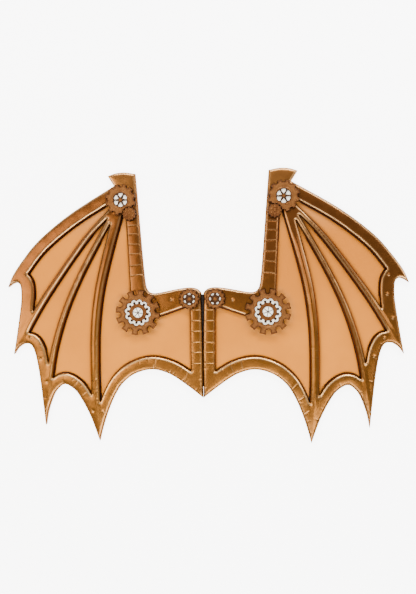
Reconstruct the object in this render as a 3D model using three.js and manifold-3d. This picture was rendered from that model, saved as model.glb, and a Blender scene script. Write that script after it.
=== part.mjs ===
// Costume dragon wings with gears: two padded wings, mirror images of each other, joined by a dark
// strip behind the middle seam. They lie on their backs with the decorated side up.
// Millimetres. +X runs across the wings, +Y towards the claws and +Z out of the decorated side.
// The origin is in the middle of the outline, on the surface that the wings lie on.

import * as THREE from "three";
import { mergeVertices } from "three/addons/utils/BufferGeometryUtils.js";
import Module from "manifold-3d";

const wasm = await Module();
wasm.setup();

// Overall sizes
const WING_SPAN = 800;
const WING_HEIGHT = 540;
const CLEARANCE = 0.3; // between two pieces that touch

// Thicknesses, from the back to the front
const MEMBRANE_THICKNESS = 3;
const FRAME_THICKNESS = 10;
const FRAME_EDGE_ROUND = 4; // how far the padded edge rounds in and down
const EDGE_SHOULDER = 0.3; // share of the rounding where its slope changes
const RIB_RIDGE_HEIGHT = 2.5;
const RIDGE_RISE = 1 / 6; // share of the ridge's length in which it rises
const RIDGE_FADE = 1 / 4; // share of the ridge's length in which it fades out
const RIDGE_PIECES = 10; // straight pieces along a ridge
const UPPER_GEAR_THICKNESS = 5;
const SMALL_COG_THICKNESS = 6;
const BIG_GEAR_THICKNESS = 5;
const INNER_WHEEL_THICKNESS = 3;
const SMALL_GEAR_THICKNESS = 4.5;
const INLAY_THICKNESS = 1;
const STAR_THICKNESS = 1.2;

// Widths of the frame's bands
const LEADING_BAND = 26;
const OUTER_BAND = 28;
const HEM_BAND = 23;
const INNER_HEM_AT_TIP = 18;
const INNER_HEM_AT_SEAM = 28;
const SPAR_AT_CLAW = 25;
const SPAR_AT_FOOT = 33;
const ARM_AT_SPAR = 47;
const ARM_AT_SEAM = 36;
const CENTRE_BAND = 23;
const MEMBRANE_INSET = 1; // the membrane ends this far inside the frame's outline

// Middle seam, and the strip behind it with its ends as shares of the height from the middle
const SEAM_AT_ARMS = 5;
const SEAM_AT_TIP = 2;
const STRIP = { width: 40, top: 0.0444, foot: -0.2963 };

// Pressed creases across the spar and the centre band, the first and the last one as shares of the
// height from the middle
const CREASE_WIDTH = 4;
const CREASE_DEPTH = 1.6;
const SPAR_CREASES = { count: 6, first: 0.335, last: 0.118 };
const CENTRE_CREASES = { count: 6, first: -0.012, last: -0.213 };

const ROUND_SIDES = 28; // straight sides of a round disc or hole
const BOSS_SIDES = 8;
const FINE_STEP = 4; // spacing of the points that curved edges are worked out with
const FLATNESS = 0.5; // how far a straight piece of an edge may lie from its curve
const CORNER = 60; // degrees: an edge that turns by more has a corner there
const NARROW_SHARE = 0.42; // an edge draws in by no more than this share of the room
const WELD = 1e-4; // points nearer than this are one point

// Edges of the right wing, counter-clockwise from the foot of the seam. A row is one point, as
// shares of the half span (across) and of the height (up, from the middle).
const EDGES = {
  innerHem: [
    [0.0025, -0.337], [0.1, -0.2815], [0.175, -0.248], [0.2575, -0.2333], [0.345, -0.25],
    [0.4075, -0.285], [0.45, -0.333], [0.4825, -0.389], [0.5075, -0.4444], [0.5275, -0.5],
  ],
  middleHem: [
    [0.5275, -0.5], [0.5725, -0.411], [0.615, -0.35], [0.655, -0.309], [0.7075, -0.289],
    [0.75, -0.313], [0.7725, -0.346], [0.7925, -0.389], [0.8075, -0.4426],
  ],
  outerHem: [
    [0.8075, -0.4426], [0.8275, -0.33], [0.84, -0.246], [0.8525, -0.198], [0.865, -0.161],
    [0.885, -0.139], [0.915, -0.137], [0.95, -0.1537], [0.9725, -0.176],
  ],
  outerSide: [
    [0.9725, -0.176], [0.96, -0.1222], [0.945, -0.0463], [0.9325, 0.0185], [0.931, 0.0556],
    [0.936, 0.085], [0.95, 0.0944], [0.9725, 0.0907], [1, 0.0778],
  ],
  leading: [
    [1, 0.0778], [0.9775, 0.1185], [0.94, 0.1611], [0.86, 0.2352], [0.765, 0.2981], [0.6625, 0.3537],
    [0.5525, 0.4037], [0.4425, 0.451],
  ],
  clawUnder: [[0.4425, 0.451], [0.46, 0.47], [0.474, 0.488]],
  clawTop: [[0.474, 0.488], [0.4325, 0.498], [0.3825, 0.5], [0.3325, 0.4935]],
  spar: [[0.3325, 0.4935], [0.315, 0.354], [0.3, 0.215], [0.284, 0.0796]],
  crook: [[0.284, 0.0796], [0.275, 0.0611], [0.26, 0.0519], [0.235, 0.05]],
  arm: [[0.235, 0.05], [0.1975, 0.0546], [0.1475, 0.0611], [0.0975, 0.0676], [0.055, 0.0694]],
  collar: [[0.055, 0.0694], [0.025, 0.064], [0.0062, 0.05]],
};

// Middle lines of the ribs, from the upper gear to a tip of the outline, with the widths in
// millimetres where the rib leaves the gear and where it meets the hem.
const RIBS = {
  outer: {
    widthAtGear: 10.5, widthAtHem: 15,
    line: [
      [0.405, 0.396], [0.565, 0.2767], [0.646, 0.202], [0.722, 0.1246], [0.796, 0.047],
      [0.864, -0.0328], [0.9725, -0.176],
    ],
  },
  middle: {
    widthAtGear: 10, widthAtHem: 14.5,
    line: [
      [0.405, 0.396], [0.465, 0.326], [0.546, 0.221], [0.623, 0.115], [0.69, 0.0061],
      [0.742, -0.107], [0.777, -0.222], [0.8075, -0.4426],
    ],
  },
  inner: {
    widthAtGear: 20, widthAtHem: 17,
    line: [
      [0.405, 0.396], [0.48, 0.1944], [0.5225, 0.061], [0.545, -0.076], [0.549, -0.213],
      [0.544, -0.352], [0.5275, -0.5],
    ],
  },
};

// Gears of the right wing: the middle as shares of the half span and the height, radii in
// millimetres, and how far each wing's gear is turned, in degrees.
const UPPER_GEAR = {
  across: 0.405, up: 0.396, teeth: 12, tip: 31, root: 26.5, turn: { right: 15, left: 15 },
  windows: 6, windowTurn: 30, windowOut: 14, windowShoulder: 12.3, windowIn: 4.5, spoke: 2.4,
};
const SMALL_COG = {
  across: 0.361, up: 0.343, teeth: 12, tip: 14, root: 12, turn: { right: 0, left: 0 },
  bosses: 6, bossTurn: 30, bossRing: 7.4, bossRadius: 2.3, bossHeight: 1.2,
};
const BIG_GEAR = {
  across: 0.323, up: -0.022, teeth: 12, tip: 45, root: 34.5, turn: { right: 15.5, left: 21 },
  lobes: 12, lobeOut: 26.4, lobeIn: 22.6,
};
const LOBE_POINTS = 4; // points of the opening's edge for each lobe
const STAR = { spokes: 6, gap: 0.6, hub: 2, spoke: 1.3, turn: { right: 20, left: -11 } };
const SMALL_GEAR = {
  across: 0.064, up: 0.0265, teeth: 14, tip: 20.5, root: 17.6, turn: { right: 0, left: 0 },
  lenses: 6, lensOut: 11.6, lensTurn: { right: 0, left: 30 },
};
// Half outlines of a knob of the wheel in the big gear and of a window of the small gear. A row is
// a radius, as a share of the big gear's lobeIn or of the small gear's lensOut, and half the width
// there, as a share of the pitch.
const INNER_WHEEL = { knobs: 12, hole: 10 };
const KNOB = [[0.779, 0.33], [0.815, 0.19], [0.885, 0.26], [0.965, 0.19], [1.005, 0]];
const LENS = [[0.7, 0], [0.83, 0.33], [0.965, 0.22], [1, 0]];
const TOOTH_SHARE = 0.55; // of the pitch that a tooth takes up
const INLAY_LAP = 1.6; // the inlay reaches this far under the gear, past the opening's edge
const PAD_MARGIN = 2; // the frame under a gear ends this far inside the roots of its teeth

// Heights of the pieces' undersides
const FRAME_BASE = MEMBRANE_THICKNESS + CLEARANCE;
const FRAME_TOP = FRAME_BASE + FRAME_THICKNESS;
const GEAR_BASE = FRAME_TOP + CLEARANCE;
const ON_INLAY = GEAR_BASE + INLAY_THICKNESS + CLEARANCE;

const rad = THREE.MathUtils.degToRad;
const lerp = THREE.MathUtils.lerp;
const place = ([across, up]) => new THREE.Vector2((across * WING_SPAN) / 2, up * WING_HEIGHT);
const polar = (radius, degrees, middle = new THREE.Vector2()) =>
  new THREE.Vector2(
    middle.x + radius * Math.cos(rad(degrees)),
    middle.y + radius * Math.sin(rad(degrees)),
  );

// Plane curves

// Evenly spaced points on a smooth curve through the rows of a table.
function smooth(rows) {
  const through = rows.map(place).map((p) => new THREE.Vector3(p.x, p.y, 0));
  const curve = new THREE.CatmullRomCurve3(through, false, "centripetal");
  const pieces = Math.max(2, Math.ceil(curve.getLength() / FINE_STEP));
  return curve.getSpacedPoints(pieces).map((p) => new THREE.Vector2(p.x, p.y));
}

// An open line with only the points that its bends need.
function thinned(line) {
  const first = line[0];
  const last = line[line.length - 1];
  const chord = last.clone().sub(first).normalize();
  let farthest = 0;
  let most = FLATNESS;
  line.forEach((p, i) => {
    const off = Math.abs(chord.cross(p.clone().sub(first)));
    if (off > most) [farthest, most] = [i, off];
  });
  if (farthest === 0) return [first, last];
  return [...thinned(line.slice(0, farthest + 1)), ...thinned(line.slice(farthest)).slice(1)];
}

// The unit direction to the left of a line at point i, halfway between its two straight pieces.
function leftOf(line, i) {
  const at = line[i];
  const back = (line[i - 1] ?? at).clone().sub(at).normalize();
  const on = (line[i + 1] ?? at).clone().sub(at).normalize();
  const along = on.sub(back).normalize();
  return new THREE.Vector2(-along.y, along.x);
}

// The line moved to its left by a distance that a function of the share of its length gives, and
// made longer at both ends, so that it crosses its neighbours.
function beside(line, distance) {
  const reach = WING_SPAN / 8;
  const moved = line.map((p, i) =>
    p.clone().addScaledVector(leftOf(line, i), distance(i / (line.length - 1))),
  );
  const first = moved[0].clone().sub(moved[1]).setLength(reach).add(moved[0]);
  const end = moved[moved.length - 1];
  const last = end.clone().sub(moved[moved.length - 2]).setLength(reach).add(end);
  return [first, ...moved, last];
}

// Where line a first crosses line b: the place, and the index of the point before it on each.
function crossing(a, b) {
  for (let i = 0; i + 1 < a.length; i += 1) {
    for (let j = 0; j + 1 < b.length; j += 1) {
      const u = a[i + 1].clone().sub(a[i]);
      const v = b[j + 1].clone().sub(b[j]);
      const w = b[j].clone().sub(a[i]);
      const turn = u.cross(v);
      const s = w.cross(v) / turn;
      const t = w.cross(u) / turn;
      if (s >= 0 && s <= 1 && t >= 0 && t <= 1) {
        return { point: a[i].clone().addScaledVector(u, s), onA: i, onB: j };
      }
    }
  }
  throw new Error("two edges of a window don't cross");
}

// The closed window between lines, each given in the order and direction of a walk round it.
function windowBetween(lines) {
  const corners = lines.map((line, i) => crossing(line, lines[(i + 1) % lines.length]));
  return lines.flatMap((line, i) => {
    const from = corners[(i + lines.length - 1) % lines.length];
    const to = corners[i];
    const side = [from.point, ...line.slice(from.onB + 1, to.onA + 1), to.point];
    return thinned(side).slice(0, -1);
  });
}

// The right wing's outline, counter-clockwise, with half the seam left open beside the middle.
function wingOutline() {
  const points = Object.values(EDGES).flatMap((rows) => thinned(smooth(rows)).slice(0, -1));
  points.push(place(EDGES.collar[EDGES.collar.length - 1]));
  const top = place(EDGES.collar[EDGES.collar.length - 1]).y;
  const foot = place(EDGES.innerHem[0]).y;
  for (const p of points) {
    const share = THREE.MathUtils.clamp((p.y - foot) / (top - foot), 0, 1);
    p.x = Math.max(p.x, lerp(SEAM_AT_TIP, SEAM_AT_ARMS, share) / 2);
  }
  return points;
}

// The seam edge, from the arms down to the foot.
function seamLine() {
  const top = place(EDGES.collar[EDGES.collar.length - 1]).y;
  const foot = place(EDGES.innerHem[0]).y;
  return [
    new THREE.Vector2(SEAM_AT_ARMS / 2, top),
    new THREE.Vector2((SEAM_AT_ARMS + SEAM_AT_TIP) / 4, (top + foot) / 2),
    new THREE.Vector2(SEAM_AT_TIP / 2, foot),
  ];
}

// One side of a rib, walked from the gear to the hem: 1 is its left side and -1 its right side.
function ribSide(rib, side) {
  const width = (t) => (side * lerp(rib.widthAtGear, rib.widthAtHem, t)) / 2;
  return beside(smooth(rib.line), width);
}

function windows() {
  const innerHem = (t) =>
    lerp(INNER_HEM_AT_SEAM, INNER_HEM_AT_TIP, 1 - Math.cos((t * Math.PI) / 2));
  const inside = {
    innerHem: beside(smooth(EDGES.innerHem), innerHem),
    middleHem: beside(smooth(EDGES.middleHem), () => HEM_BAND),
    outerHem: beside(smooth(EDGES.outerHem), () => HEM_BAND),
    outerSide: beside(smooth(EDGES.outerSide), () => OUTER_BAND),
    leading: beside(smooth(EDGES.leading), () => LEADING_BAND),
    spar: beside(smooth(EDGES.spar), (t) => lerp(SPAR_AT_CLAW, SPAR_AT_FOOT, t)),
    arm: beside(smooth(EDGES.arm), (t) => lerp(ARM_AT_SPAR, ARM_AT_SEAM, t)),
    seam: beside(seamLine(), () => CENTRE_BAND),
  };
  const back = (line) => [...line].reverse();
  const { outer, middle, inner } = RIBS;
  return [
    windowBetween([inside.outerSide, inside.leading, ribSide(outer, 1)]),
    windowBetween([inside.outerHem, back(ribSide(outer, -1)), ribSide(middle, 1)]),
    windowBetween([inside.middleHem, back(ribSide(middle, -1)), ribSide(inner, 1)]),
    windowBetween([
      inside.innerHem, back(ribSide(inner, -1)), inside.spar, inside.arm, inside.seam,
    ]),
  ];
}

// Solids

// A closed padded plate. Each loop has the plate's material on its left. A level is a height and
// how far the loops draw in there, which narrow places limit.
function paddedPlate(loops, levels) {
  const most = Math.max(...levels.map((level) => level.inset));
  const inward = loops.map((loop) => inwardSteps(loop, loops, most));
  const positions = [];
  for (const { height, inset } of levels) {
    loops.forEach((loop, k) => {
      loop.forEach((p, i) => {
        const q = p.clone().addScaledVector(inward[k][i], most > 0 ? inset / most : 0);
        positions.push(q.x, q.y, height);
      });
    });
  }
  const perLevel = loops.reduce((sum, loop) => sum + loop.length, 0);
  const faces = [];
  for (let level = 0; level + 1 < levels.length; level += 1) {
    let start = level * perLevel;
    for (const loop of loops) {
      loop.forEach((_, i) => {
        const a = start + i;
        const b = start + ((i + 1) % loop.length);
        faces.push(a, b, b + perLevel, a, b + perLevel, a + perLevel);
      });
      start += loop.length;
    }
  }
  for (const level of [0, levels.length - 1]) {
    const start = level * perLevel;
    const up = level > 0;
    const flat = [];
    for (let i = start; i < start + perLevel; i += 1) {
      flat.push(new THREE.Vector2(positions[3 * i], positions[3 * i + 1]));
    }
    const parts = [];
    let used = 0;
    for (const loop of loops) {
      parts.push(flat.slice(used, used + loop.length));
      used += loop.length;
    }
    const triangles = THREE.ShapeUtils.triangulateShape(parts[0], parts.slice(1));
    const areas = triangles.map((face) => THREE.ShapeUtils.area(face.map((i) => flat[i])));
    const isCounterClockwise = areas.reduce((sum, area) => sum + area, 0) > 0;
    for (const [a, b, c] of triangles) {
      const turned = isCounterClockwise === up ? [a, b, c] : [a, c, b];
      faces.push(...turned.map((i) => start + i));
    }
  }
  const geometry = new THREE.BufferGeometry();
  geometry.setAttribute("position", new THREE.Float32BufferAttribute(positions, 3));
  geometry.setIndex(faces);
  return geometry;
}

// How far each point of a loop moves in at the most: the wanted inset, or less where the plate is
// narrow, so that the two sides of a tip don't cross.
function inwardSteps(loop, loops, inset) {
  return loop.map((p, i) => {
    const before = loop[(i + loop.length - 1) % loop.length];
    const after = loop[(i + 1) % loop.length];
    const left = leftOf([before, p, after], 1);
    const near = Math.min(p.distanceTo(before), p.distanceTo(after));
    const isCorner = p.clone().sub(before).angleTo(after.clone().sub(p)) > rad(CORNER);
    let room = isCorner ? near : WING_SPAN;
    for (const other of loops) {
      other.forEach((a, j) => {
        const b = other[(j + 1) % other.length];
        if (a === p || b === p) return;
        const u = b.clone().sub(a);
        const w = a.clone().sub(p);
        const turn = left.cross(u);
        const along = w.cross(u) / turn;
        const share = w.cross(left) / turn;
        if (along > 0 && share >= 0 && share <= 1) room = Math.min(room, along);
      });
    }
    return left.multiplyScalar(Math.min(inset, NARROW_SHARE * room));
  });
}

// A flat plate between two heights from a closed outline and holes.
function plate(outline, holes, base, thickness) {
  const shape = new THREE.Shape(outline);
  shape.holes = holes.map((hole) => new THREE.Path(hole));
  const geometry = new THREE.ExtrudeGeometry(shape, { depth: thickness, bevelEnabled: false });
  return geometry.translate(0, 0, base);
}

function disc(radius, middle, base, thickness, sides = ROUND_SIDES) {
  return plate(around(sides, radius, middle), [], base, thickness);
}

// Points evenly round a circle.
function around(count, radius, middle, turn = 0) {
  return Array.from({ length: count }, (_, i) => polar(radius, turn + (360 * i) / count, middle));
}

// A low ridge along a rib, three-sided, sunk a little into the frame. It rises from nothing beside
// the gear and fades out before the tip.
function ridge(rib) {
  const gear = place([UPPER_GEAR.across, UPPER_GEAR.up]);
  const tip = place(rib.line[rib.line.length - 1]);
  const isClear = (p) =>
    p.distanceTo(gear) > UPPER_GEAR.tip + FRAME_EDGE_ROUND && p.distanceTo(tip) > 2 * HEM_BAND;
  const kept = new THREE.Path(smooth(rib.line).filter(isClear)).getSpacedPoints(RIDGE_PIECES);
  const sunk = FRAME_EDGE_ROUND / 4;
  const positions = [];
  kept.forEach((p, i) => {
    const t = i / (kept.length - 1);
    const rise = RIB_RIDGE_HEIGHT * Math.min(1, t / RIDGE_RISE, (1 - t) / RIDGE_FADE) + sunk / 2;
    const half = (lerp(rib.widthAtGear, rib.widthAtHem, t) - 1.5 * FRAME_EDGE_ROUND) / 2;
    const left = leftOf(kept, i);
    const a = p.clone().addScaledVector(left, -half);
    const b = p.clone().addScaledVector(left, half);
    positions.push(a.x, a.y, FRAME_TOP - sunk, p.x, p.y, FRAME_TOP + rise);
    positions.push(b.x, b.y, FRAME_TOP - sunk);
  });
  const faces = [0, 1, 2];
  for (let i = 0; i + 1 < kept.length; i += 1) {
    for (let side = 0; side < 3; side += 1) {
      const a = 3 * i + side;
      const b = 3 * i + ((side + 1) % 3);
      faces.push(a, a + 3, b + 3, a, b + 3, b);
    }
  }
  const end = 3 * (kept.length - 1);
  faces.push(end, end + 2, end + 1);
  const geometry = new THREE.BufferGeometry();
  geometry.setAttribute("position", new THREE.Float32BufferAttribute(positions, 3));
  geometry.setIndex(faces);
  return geometry;
}

// A three-sided cutter for a pressed crease from one point to another, across the frame's top.
function creaseCutter(from, to) {
  const profile = new THREE.Shape([
    new THREE.Vector2(-CREASE_WIDTH / 2, CREASE_DEPTH / 2),
    new THREE.Vector2(0, -CREASE_DEPTH),
    new THREE.Vector2(CREASE_WIDTH / 2, CREASE_DEPTH / 2),
  ]);
  const depth = from.distanceTo(to);
  const geometry = new THREE.ExtrudeGeometry(profile, { depth, bevelEnabled: false });
  geometry.rotateX(Math.PI / 2);
  geometry.rotateZ(Math.atan2(to.y - from.y, to.x - from.x) + Math.PI / 2);
  return geometry.translate(from.x, from.y, FRAME_TOP);
}

// Heights up the wing of evenly spaced creases.
const creaseRows = ({ count, first, last }) =>
  Array.from({ length: count }, (_, i) => lerp(first, last, i / (count - 1)) * WING_HEIGHT);

// Cutters for the creases. Those of the spar slope down a little on their way out.
function creaseCutters() {
  const spar = smooth(EDGES.spar);
  const acrossSpar = creaseRows(SPAR_CREASES).map((y) => {
    const edge = spar.find((p) => p.y < y);
    const from = new THREE.Vector2(edge.x - CREASE_WIDTH, y);
    return creaseCutter(from, new THREE.Vector2(edge.x + SPAR_AT_FOOT, y - CREASE_WIDTH));
  });
  const acrossCentre = creaseRows(CENTRE_CREASES).map((y) =>
    creaseCutter(new THREE.Vector2(0, y), new THREE.Vector2(CENTRE_BAND + SEAM_AT_ARMS, y)),
  );
  return [...acrossSpar, ...acrossCentre];
}

function solid(geometry) {
  const bare = geometry.clone();
  bare.deleteAttribute("normal");
  bare.deleteAttribute("uv");
  const merged = mergeVertices(bare, WELD);
  return new wasm.Manifold(
    new wasm.Mesh({
      numProp: 3,
      vertProperties: merged.attributes.position.array,
      triVerts: new Uint32Array(merged.index.array),
    }),
  );
}

function geometryOf(manifold) {
  const mesh = manifold.getMesh();
  const positions = [];
  for (let i = 0; i < mesh.numVert; i += 1) {
    positions.push(...mesh.vertProperties.slice(i * mesh.numProp, i * mesh.numProp + 3));
  }
  const geometry = new THREE.BufferGeometry();
  geometry.setAttribute("position", new THREE.Float32BufferAttribute(positions, 3));
  geometry.setIndex([...mesh.triVerts]);
  return geometry;
}

const joined = (first, ...rest) => rest.reduce((sum, g) => sum.add(solid(g)), solid(first));

// Soft pieces

const outline = wingOutline();
const openings = windows();

function frame() {
  const loops = [outline, ...openings.map((loop) => [...loop].reverse())];
  const round = FRAME_EDGE_ROUND;
  const shoulder = EDGE_SHOULDER * round;
  const body = paddedPlate(loops, [
    { height: FRAME_BASE, inset: 0 },
    { height: FRAME_TOP - round, inset: 0 },
    { height: FRAME_TOP - shoulder, inset: shoulder },
    { height: FRAME_TOP, inset: round },
  ]);
  const pads = [UPPER_GEAR, SMALL_COG, BIG_GEAR, SMALL_GEAR].map((gear) =>
    disc(gear.root - PAD_MARGIN, place([gear.across, gear.up]), FRAME_BASE, FRAME_THICKNESS),
  );
  const ridges = Object.values(RIBS).map(ridge);
  const padded = joined(body, ...pads, ...ridges);
  return geometryOf(creaseCutters().reduce((rest, cutter) => rest.subtract(solid(cutter)), padded));
}

function membrane() {
  const sheet = paddedPlate(
    [outline],
    [
      { height: 0, inset: MEMBRANE_INSET },
      { height: MEMBRANE_THICKNESS, inset: MEMBRANE_INSET },
    ],
  );
  const room = stripOutline(CLEARANCE);
  const cut = solid(plate(room, [], -CLEARANCE, MEMBRANE_THICKNESS + 2 * CLEARANCE));
  return geometryOf(solid(sheet).subtract(cut));
}

function stripOutline(margin) {
  const half = STRIP.width / 2 + margin;
  const foot = STRIP.foot * WING_HEIGHT - margin;
  const top = STRIP.top * WING_HEIGHT + margin;
  return [
    new THREE.Vector2(-half, foot),
    new THREE.Vector2(half, foot),
    new THREE.Vector2(half, top),
    new THREE.Vector2(-half, top),
  ];
}

// Gears

// The outline of a gear: straight-sided teeth with a rounded root between them.
function toothed({ teeth, tip, root }, turn, middle) {
  const pitch = 360 / teeth;
  const half = (pitch * TOOTH_SHARE) / 2;
  const rounding = (tip - root) / 5;
  return Array.from({ length: teeth }, (_, i) => turn + i * pitch).flatMap((at) => [
    polar(root + rounding, at - half, middle),
    polar(tip, at - half, middle),
    polar(tip, at + half, middle),
    polar(root + rounding, at + half, middle),
    polar(root, at + pitch / 2, middle),
  ]);
}

// A gear with openings, and with a round pocket for the inlay in its underside.
function gearOverInlay(shape, holes, pocket, middle, thickness) {
  const depth = INLAY_THICKNESS + CLEARANCE;
  const room = disc(pocket + CLEARANCE, middle, GEAR_BASE - depth, 2 * depth);
  return solid(plate(shape, holes, GEAR_BASE, thickness)).subtract(solid(room));
}

// Half the angle that a width takes up at a radius, in degrees.
const halfAngle = (width, radius) => THREE.MathUtils.radToDeg(Math.asin(width / 2 / radius));

// Wedge windows between the spokes of the upper gear, round at the outer end.
function wedgeWindows(gear, middle) {
  const side = (radius) => 180 / gear.windows - halfAngle(gear.spoke, radius);
  const { windowOut: out, windowShoulder: shoulder } = gear;
  return Array.from({ length: gear.windows }, (_, i) => {
    const at = gear.windowTurn + (360 * i) / gear.windows;
    return [
      polar(gear.windowIn, at, middle),
      polar(shoulder, at - side(shoulder), middle),
      polar(out, at - side(out) / 2, middle),
      polar(out, at + side(out) / 2, middle),
      polar(shoulder, at + side(shoulder), middle),
    ];
  });
}

// Copies of a shape evenly round a middle, from the rows of the shape's half outline.
function roundOf(count, turn, half, radius, middle) {
  const pitch = 360 / count;
  return Array.from({ length: count }, (_, i) => {
    const at = turn + i * pitch;
    const point = (side) => ([out, wide]) =>
      polar(out * radius, at + side * wide * pitch, middle);
    const wideRows = half.filter(([, wide]) => wide > 0).reverse();
    return [...half.map(point(-1)), ...wideRows.map(point(1))];
  });
}

// The big gear's opening, with a round lobe for each knob of the wheel inside it.
function lobedOpening({ lobes, lobeOut, lobeIn }, turn, middle) {
  const steps = lobes * LOBE_POINTS;
  return Array.from({ length: steps }, (_, i) => {
    const lobe = Math.abs(Math.cos((Math.PI * i) / LOBE_POINTS));
    return polar(lerp(lobeIn, lobeOut, lobe), turn + (360 * i) / steps, middle);
  });
}

function starShape({ spokes, gap, hub, spoke }, turn, middle) {
  const reach = INNER_WHEEL.hole - gap;
  return Array.from({ length: spokes }, (_, i) => turn + (360 * i) / spokes).flatMap((at) => [
    polar(hub, at - halfAngle(spoke, hub), middle),
    polar(reach, at - halfAngle(spoke, reach), middle),
    polar(reach, at + halfAngle(spoke, reach), middle),
    polar(hub, at + halfAngle(spoke, hub), middle),
  ]);
}

// Colours

const bronze = { color: 0xa56e37, roughness: 0.38, metalness: 0.55 };
const peach = { color: 0xdea573, roughness: 0.6, metalness: 0.05 };
const gearBrown = { color: 0x9c6638, roughness: 0.5, metalness: 0.3 };
const paleInlay = { color: 0xeedcc8, roughness: 0.45, metalness: 0.1 };
const starGrey = { color: 0x5b6068, roughness: 0.4, metalness: 0.5 };
const darkCloth = { color: 0x2a1d16, roughness: 0.85, metalness: 0 };

const wings = new THREE.Group();

function addPiece(parent, name, geometry, finish) {
  const mesh = new THREE.Mesh(geometry, new THREE.MeshStandardMaterial(finish));
  mesh.name = name;
  parent.add(mesh);
}

// One wing is modelled as the right one, and the left one is its mirror image.
function addWing(side) {
  const wing = new THREE.Group();
  if (side === "left") wing.scale.x = -1;
  wings.add(wing);
  const add = (name, geometry, finish) => addPiece(wing, `${name}_${side}`, geometry, finish);
  const facing = (turn) => (side === "left" ? 180 - turn.left : turn.right);

  add("membrane", membrane(), peach);
  add("frame", frame(), bronze);

  const upper = place([UPPER_GEAR.across, UPPER_GEAR.up]);
  const cog = place([SMALL_COG.across, SMALL_COG.up]);
  const upperShape = toothed(UPPER_GEAR, facing(UPPER_GEAR.turn), upper);
  const upperPocket = UPPER_GEAR.windowOut + INLAY_LAP;
  const upperWhole = gearOverInlay(
    upperShape, wedgeWindows(UPPER_GEAR, upper), upperPocket, upper, UPPER_GEAR_THICKNESS,
  );
  const cogRoom = disc(SMALL_COG.tip + CLEARANCE, cog, FRAME_TOP, 2 * SMALL_COG_THICKNESS);
  add("upper_gear", geometryOf(upperWhole.subtract(solid(cogRoom))), gearBrown);
  add("upper_inlay", disc(upperPocket, upper, GEAR_BASE, INLAY_THICKNESS), paleInlay);

  const cogBase = plate(
    toothed(SMALL_COG, facing(SMALL_COG.turn), cog), [], GEAR_BASE, SMALL_COG_THICKNESS,
  );
  const ring = around(SMALL_COG.bosses, SMALL_COG.bossRing, cog, SMALL_COG.bossTurn);
  const bosses = [cog, ...ring].map((middle) =>
    disc(
      SMALL_COG.bossRadius, middle, GEAR_BASE + SMALL_COG_THICKNESS / 2,
      SMALL_COG_THICKNESS / 2 + SMALL_COG.bossHeight, BOSS_SIDES,
    ),
  );
  add("small_cog", geometryOf(joined(cogBase, ...bosses)), gearBrown);

  const big = place([BIG_GEAR.across, BIG_GEAR.up]);
  const bigTurn = facing(BIG_GEAR.turn);
  const bigPocket = BIG_GEAR.lobeOut + INLAY_LAP;
  const lobes = lobedOpening(BIG_GEAR, bigTurn, big);
  const bigShape = toothed(BIG_GEAR, bigTurn, big);
  const bigWhole = gearOverInlay(bigShape, [lobes], bigPocket, big, BIG_GEAR_THICKNESS);
  add("big_gear", geometryOf(bigWhole), gearBrown);
  add("big_inlay", disc(bigPocket, big, GEAR_BASE, INLAY_THICKNESS), paleInlay);
  const wheel = roundOf(INNER_WHEEL.knobs, bigTurn, KNOB, BIG_GEAR.lobeIn, big).flat();
  const wheelHole = around(ROUND_SIDES, INNER_WHEEL.hole, big);
  add("inner_wheel", plate(wheel, [wheelHole], ON_INLAY, INNER_WHEEL_THICKNESS), gearBrown);
  const star = starShape(STAR, facing(STAR.turn), big);
  add("star", plate(star, [], ON_INLAY, STAR_THICKNESS), starGrey);

  const small = place([SMALL_GEAR.across, SMALL_GEAR.up]);
  const smallPocket = SMALL_GEAR.lensOut + INLAY_LAP;
  const lensTurn = facing(SMALL_GEAR.lensTurn);
  const lenses = roundOf(SMALL_GEAR.lenses, lensTurn, LENS, SMALL_GEAR.lensOut, small);
  const smallShape = toothed(SMALL_GEAR, facing(SMALL_GEAR.turn), small);
  const smallWhole = gearOverInlay(smallShape, lenses, smallPocket, small, SMALL_GEAR_THICKNESS);
  add("small_gear", geometryOf(smallWhole), gearBrown);
  add("small_inlay", disc(smallPocket, small, GEAR_BASE, INLAY_THICKNESS), paleInlay);
}

addWing("right");
addWing("left");
addPiece(wings, "backing_strip", plate(stripOutline(0), [], 0, MEMBRANE_THICKNESS), darkCloth);

export default wings;
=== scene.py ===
"""Costume dragon wings with gears: padded bronze frames over peach membranes, lying flat.

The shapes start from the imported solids: each piece takes its edge from its solid's lowest face,
gets a fine mesh inside that edge, and a height at each point. The right wing's meshes are laid out
once and mirrored for the left one, with creases and wrinkles of its own. Metres, +Z up.
"""

import math

import bpy
import numpy as np
from mathutils import Matrix, Vector, kdtree, noise
from mathutils.geometry import delaunay_2d_cdt


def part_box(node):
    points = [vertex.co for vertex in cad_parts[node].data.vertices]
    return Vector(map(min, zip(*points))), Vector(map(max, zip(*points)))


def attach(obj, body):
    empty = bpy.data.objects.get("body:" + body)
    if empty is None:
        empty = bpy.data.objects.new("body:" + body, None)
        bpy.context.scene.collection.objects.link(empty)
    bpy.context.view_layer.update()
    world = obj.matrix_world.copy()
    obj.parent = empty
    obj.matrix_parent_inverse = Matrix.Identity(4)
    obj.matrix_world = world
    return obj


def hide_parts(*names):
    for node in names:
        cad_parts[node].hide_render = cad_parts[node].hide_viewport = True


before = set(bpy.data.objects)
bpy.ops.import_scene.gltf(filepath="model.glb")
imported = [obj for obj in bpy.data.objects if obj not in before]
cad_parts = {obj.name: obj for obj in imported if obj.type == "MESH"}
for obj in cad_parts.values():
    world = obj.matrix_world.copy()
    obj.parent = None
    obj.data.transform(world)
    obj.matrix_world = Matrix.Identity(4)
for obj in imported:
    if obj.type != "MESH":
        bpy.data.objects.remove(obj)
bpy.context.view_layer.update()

MM = 0.001
SIDES = {"right": 1, "left": -1}  # and the sign of x

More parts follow.
